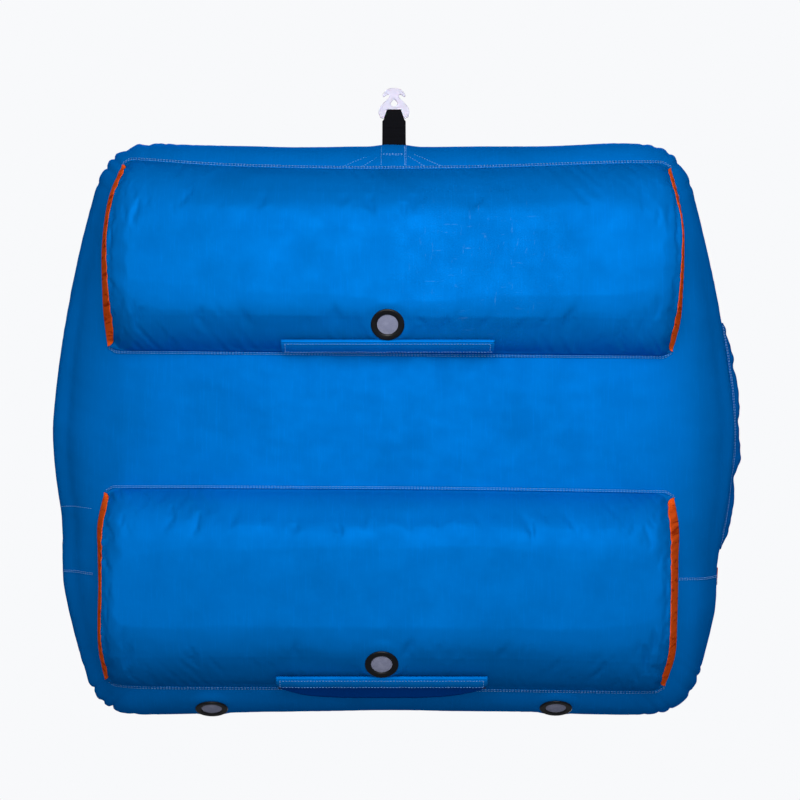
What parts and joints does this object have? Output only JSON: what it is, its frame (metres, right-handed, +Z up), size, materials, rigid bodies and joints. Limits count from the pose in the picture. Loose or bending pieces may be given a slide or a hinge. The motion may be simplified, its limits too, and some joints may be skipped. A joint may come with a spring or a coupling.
{
  "type": "towable tube",
  "caption": "Inflatable towable tube: fabric-covered bladder deck on float pads, with a webbing tow point, hinged grab handles, mesh drains, zips and a capped valve",
  "frame": {"origin": "centre of the footprint at the height of the float pads' underside", "axes": "+X across the tube, -Y the towed front, +Y the rear, +Z up"},
  "size_m": [1.4673, 1.3396, 0.4519],
  "materials": {
    "cover_blue": "coated woven nylon, satin",
    "pad_blue": "coated woven nylon, satin",
    "trim_orange": "coated woven nylon, satin",
    "bladder_pvc": "soft PVC film",
    "webbing_black": "woven webbing",
    "fitting_black": "moulded plastic",
    "mesh_grey": "open mesh",
    "connector_clear": "translucent moulded plastic",
    "zip_black": "coil zip on woven tape",
    "grip_foam": "foam grip",
    "deck_foam": "textured foam",
    "valve_white": "moulded plastic"
  },
  "bodies": {
    "tube": {"bottom_cover": "cover_blue", "top_cover": "cover_blue", "cover_piping": "trim_orange", "main_bladder": "bladder_pvc", "front_pad_cover": "pad_blue", "rear_pad_cover": "pad_blue", "front_pad_left_gusset": "trim_orange", "front_pad_right_gusset": "trim_orange", "rear_pad_left_gusset": "trim_orange", "rear_pad_right_gusset": "trim_orange", "front_pad_bladder": "bladder_pvc", "rear_pad_bladder": "bladder_pvc", "front_pad_valve": "valve_white", "rear_pad_valve": "valve_white", "front_pad_zip_tape": "zip_black", "rear_pad_zip_tape": "zip_black", "front_pad_drain_ring": "fitting_black", "front_pad_drain_mesh": "mesh_grey", "front_pad_drain_backing": "fitting_black", "rear_pad_drain_ring": "fitting_black", "rear_pad_drain_mesh": "mesh_grey", "rear_pad_drain_backing": "fitting_black", "left_body_drain_ring": "fitting_black", "left_body_drain_mesh": "mesh_grey", "left_body_drain_backing": "fitting_black", "right_body_drain_ring": "fitting_black", "right_body_drain_mesh": "mesh_grey", "right_body_drain_backing": "fitting_black", "tow_webbing_tail": "webbing_black", "inner_left_handle_guard": "deck_foam", "inner_right_handle_guard": "deck_foam", "outer_left_handle_guard": "deck_foam", "outer_right_handle_guard": "deck_foam", "valve_base": "valve_white", "valve_insert": "fitting_black", "side_zip_tape": "zip_black", "left_deck_pad": "deck_foam", "right_deck_pad": "deck_foam"},
    "tow_loop": {"tow_strap": "webbing_black"},
    "connector": {"tow_connector": "connector_clear"},
    "front_pad_slider": {"front_pad_zip_slider": "fitting_black"},
    "rear_pad_slider": {"rear_pad_zip_slider": "fitting_black"},
    "front_pad_flap": {"front_pad_zip_flap": "pad_blue"},
    "rear_pad_flap": {"rear_pad_zip_flap": "pad_blue"},
    "side_slider": {"side_zip_slider": "fitting_black"},
    "side_pull": {"side_zip_pull": "fitting_black"},
    "side_flap": {"side_zip_flap": "cover_blue"},
    "cap": {"valve_cap": "valve_white"},
    "outer_left_handle": {"outer_left_handle_strap": "webbing_black", "outer_left_handle_grip": "grip_foam"},
    "inner_left_handle": {"inner_left_handle_strap": "webbing_black", "inner_left_handle_grip": "grip_foam"},
    "inner_right_handle": {"inner_right_handle_strap": "webbing_black", "inner_right_handle_grip": "grip_foam"},
    "outer_right_handle": {"outer_right_handle_strap": "webbing_black", "outer_right_handle_grip": "grip_foam"}
  },
  "joints": [
    {"name": "tow_loop_swing", "type": "hinge", "parent": "tube", "child": "tow_loop", "pos_m": [0, -0.5625, 0.235], "axis": [1, 0, 0], "range_deg": [-60, 60]},
    {"name": "connector_swing", "type": "hinge", "parent": "tow_loop", "child": "connector", "pos_m": [0, -0.6225, 0.235], "axis": [1, 0, 0], "range_deg": [-90, 90]},
    {"name": "front_pad_zip", "type": "slide", "parent": "tube", "child": "front_pad_slider", "axis": [1, 0, 0], "range_m": [0, 0.385]},
    {"name": "rear_pad_zip", "type": "slide", "parent": "tube", "child": "rear_pad_slider", "axis": [1, 0, 0], "range_m": [0, 0.385]},
    {"name": "front_pad_flap_lift", "type": "hinge", "parent": "tube", "child": "front_pad_flap", "pos_m": [-0.012, -0.12476, 0.03183], "axis": [-1, 0, 0], "range_deg": [0, 100]},
    {"name": "rear_pad_flap_lift", "type": "hinge", "parent": "tube", "child": "rear_pad_flap", "pos_m": [-0.024, 0.57219, 0.06482], "axis": [-1, 0, 0], "range_deg": [-20, 80]},
    {"name": "side_zip_run", "type": "hinge", "parent": "tube", "child": "side_slider", "pos_m": [-0.321, 0.0515, 0.235], "axis": [0, 0, 1], "range_deg": [-23.5, 0]},
    {"name": "side_pull_swing", "type": "hinge", "parent": "side_slider", "child": "side_pull", "pos_m": [0.69561, 0.29431, 0.27897], "axis": [0.9726, 0.2323, 0], "range_deg": [-35, 35]},
    {"name": "side_flap_lift", "type": "hinge", "parent": "tube", "child": "side_flap", "pos_m": [0.646, 0.0515, 0.3225], "axis": [0, -1, 0], "range_deg": [0, 60]},
    {"name": "valve_cap_lift", "type": "hinge", "parent": "tube", "child": "cap", "pos_m": [0, 0.3765, 0.39105], "axis": [-1, 0, 0], "range_deg": [0, 150]},
    {"name": "outer_left_handle_swing", "type": "hinge", "parent": "tube", "child": "outer_left_handle", "pos_m": [-0.47109, -0.24877, 0.39067], "axis": [0.9961, -0.001, 0.0878], "range_deg": [-65, 65]},
    {"name": "inner_left_handle_swing", "type": "hinge", "parent": "tube", "child": "inner_left_handle", "pos_m": [-0.17, -0.24865, 0.39689], "axis": [1, 0, -0.0004], "range_deg": [-65, 65]},
    {"name": "inner_right_handle_swing", "type": "hinge", "parent": "tube", "child": "inner_right_handle", "pos_m": [0.17, -0.24865, 0.39689], "axis": [1, 0, -0.0004], "range_deg": [-65, 65]},
    {"name": "outer_right_handle_swing", "type": "hinge", "parent": "tube", "child": "outer_right_handle", "pos_m": [0.47109, -0.24877, 0.39067], "axis": [0.9961, 0.001, -0.0878], "range_deg": [-65, 65]}
  ]
}
